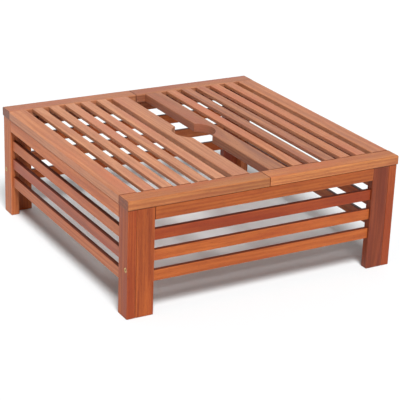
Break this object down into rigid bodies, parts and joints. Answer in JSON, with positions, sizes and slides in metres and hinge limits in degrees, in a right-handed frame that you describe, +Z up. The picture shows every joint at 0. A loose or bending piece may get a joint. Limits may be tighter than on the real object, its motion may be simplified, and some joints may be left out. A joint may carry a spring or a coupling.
{
  "type": "umbrella stand table",
  "caption": "Square slatted hardwood stand that boxes in an umbrella base, with a split lift-off top and a round pole hole at its centre.",
  "frame": {"origin": "on the floor under the middle of the pole hole", "axes": "+Z up, +X to the right along the front, -Y towards the front"},
  "size_m": [0.8, 0.8, 0.315],
  "materials": {
    "top_board_wood": "oiled hardwood, salmon tan",
    "top_slat_wood": "oiled hardwood, salmon tan",
    "top_rail_wood": "oiled hardwood, orange tan",
    "apron_wood": "oiled hardwood, red orange",
    "panel_slat_wood": "oiled hardwood, orange to deep red",
    "post_wood": "oiled hardwood, red brown",
    "cleat_wood": "oiled hardwood, brown",
    "brass": "yellow passivated bolt heads",
    "zinc_plated_steel": "zinc plated"
  },
  "bodies": {
    "base": {"front_panel_post_left": "post_wood", "front_panel_post_right": "post_wood", "front_panel_apron": "apron_wood", "front_panel_slat_1": "panel_slat_wood", "front_panel_slat_2": "panel_slat_wood", "front_panel_slat_3": "panel_slat_wood", "back_panel_post_left": "post_wood", "back_panel_post_right": "post_wood", "back_panel_apron": "apron_wood", "back_panel_slat_1": "panel_slat_wood", "back_panel_slat_2": "panel_slat_wood", "back_panel_slat_3": "panel_slat_wood", "left_panel_post_front": "post_wood", "left_panel_post_back": "post_wood", "left_panel_apron": "apron_wood", "left_panel_slat_1": "panel_slat_wood", "left_panel_slat_2": "panel_slat_wood", "left_panel_slat_3": "panel_slat_wood", "right_panel_post_front": "post_wood", "right_panel_post_back": "post_wood", "right_panel_apron": "apron_wood", "right_panel_slat_1": "panel_slat_wood", "right_panel_slat_2": "panel_slat_wood", "right_panel_slat_3": "panel_slat_wood", "bolt_left_front": "brass", "barrel_nut_left_front": "zinc_plated_steel", "bolt_left_back": "brass", "barrel_nut_left_back": "zinc_plated_steel", "bolt_right_front": "brass", "barrel_nut_right_front": "zinc_plated_steel", "bolt_right_back": "brass", "barrel_nut_right_back": "zinc_plated_steel"},
    "left_top": {"left_edge_board": "top_board_wood", "left_slat_1": "top_slat_wood", "left_slat_2": "top_slat_wood", "left_slat_3": "top_slat_wood", "left_slat_4": "top_slat_wood", "left_slat_5": "top_slat_wood", "left_centre_board": "top_board_wood", "left_front_rail": "top_rail_wood", "left_back_rail": "top_rail_wood", "left_front_cleat": "cleat_wood", "left_back_cleat": "cleat_wood", "left_side_cleat": "cleat_wood"},
    "right_top": {"right_edge_board": "top_board_wood", "right_slat_1": "top_slat_wood", "right_slat_2": "top_slat_wood", "right_slat_3": "top_slat_wood", "right_slat_4": "top_slat_wood", "right_slat_5": "top_slat_wood", "right_centre_board": "top_board_wood", "right_front_rail": "top_rail_wood", "right_back_rail": "top_rail_wood", "right_front_cleat": "cleat_wood", "right_back_cleat": "cleat_wood", "right_side_cleat": "cleat_wood"}
  },
  "joints": [
    {"name": "left_top_lift", "type": "slide", "parent": "base", "child": "left_top", "axis": [0, 0, 1], "range_m": [0, 0.06]},
    {"name": "right_top_lift", "type": "slide", "parent": "base", "child": "right_top", "axis": [0, 0, 1], "range_m": [0, 0.06]}
  ]
}
